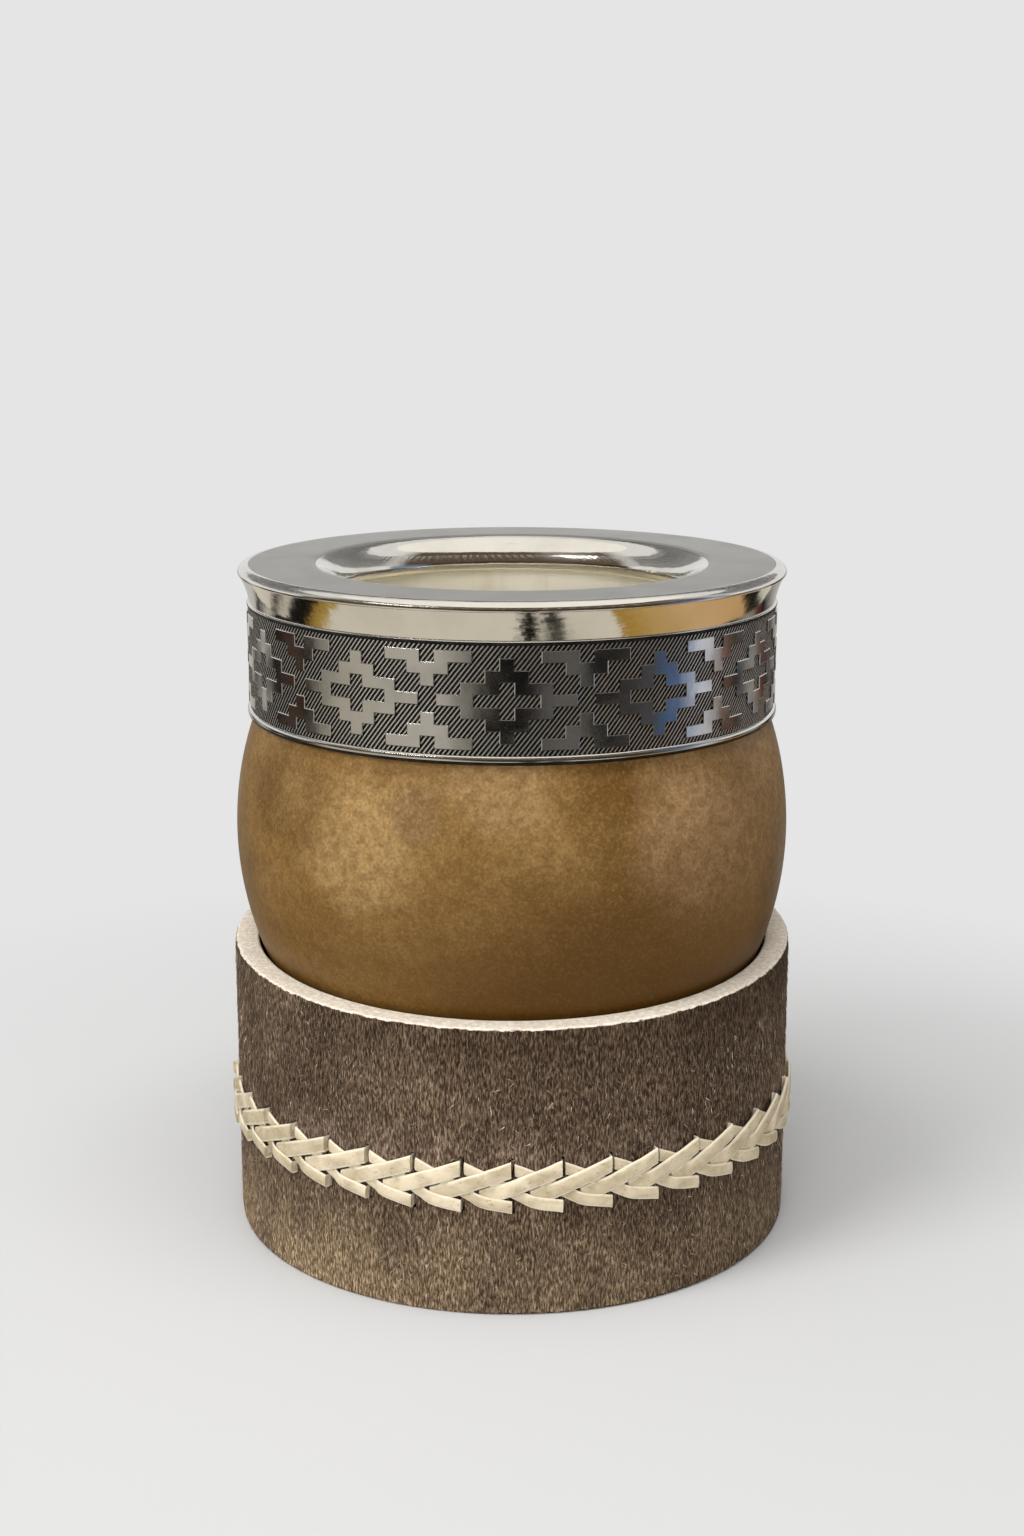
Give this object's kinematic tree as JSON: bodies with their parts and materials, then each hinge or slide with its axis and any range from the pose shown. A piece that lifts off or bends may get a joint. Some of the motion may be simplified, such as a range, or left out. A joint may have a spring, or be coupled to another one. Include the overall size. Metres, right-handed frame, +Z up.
{
  "type": "mate cup with stand",
  "caption": "Hollow calabash mate cup with a flared metal rim and an engraved collar band, resting in a laced hide ring that holds it upright.",
  "frame": {"origin": "centre of the hide ring's foot, on the surface it stands on", "axes": "+Z up along the cup's axis, out of its mouth; +Y towards the back, where the ring's cut edge stands highest; +X to the right"},
  "size_m": [0.094, 0.094, 0.1096],
  "materials": {
    "gourd_skin": "cured calabash skin, ochre tan and mottled, satin, cream inside",
    "engraved_metal": "pressed nickel silver sheet, darkened hatching and polished raised figures",
    "polished_metal": "polished nickel silver with a satin flat top",
    "hair_hide": "thick cattle hide with short brown hair, pale fibrous cut edge",
    "rawhide": "ivory rawhide strap, smooth and slightly glossy"
  },
  "bodies": {
    "root": {"gourd": "gourd_skin", "band": "engraved_metal", "rim": "polished_metal", "hide_ring": "hair_hide", "lace": "rawhide"}
  },
  "joints": []
}
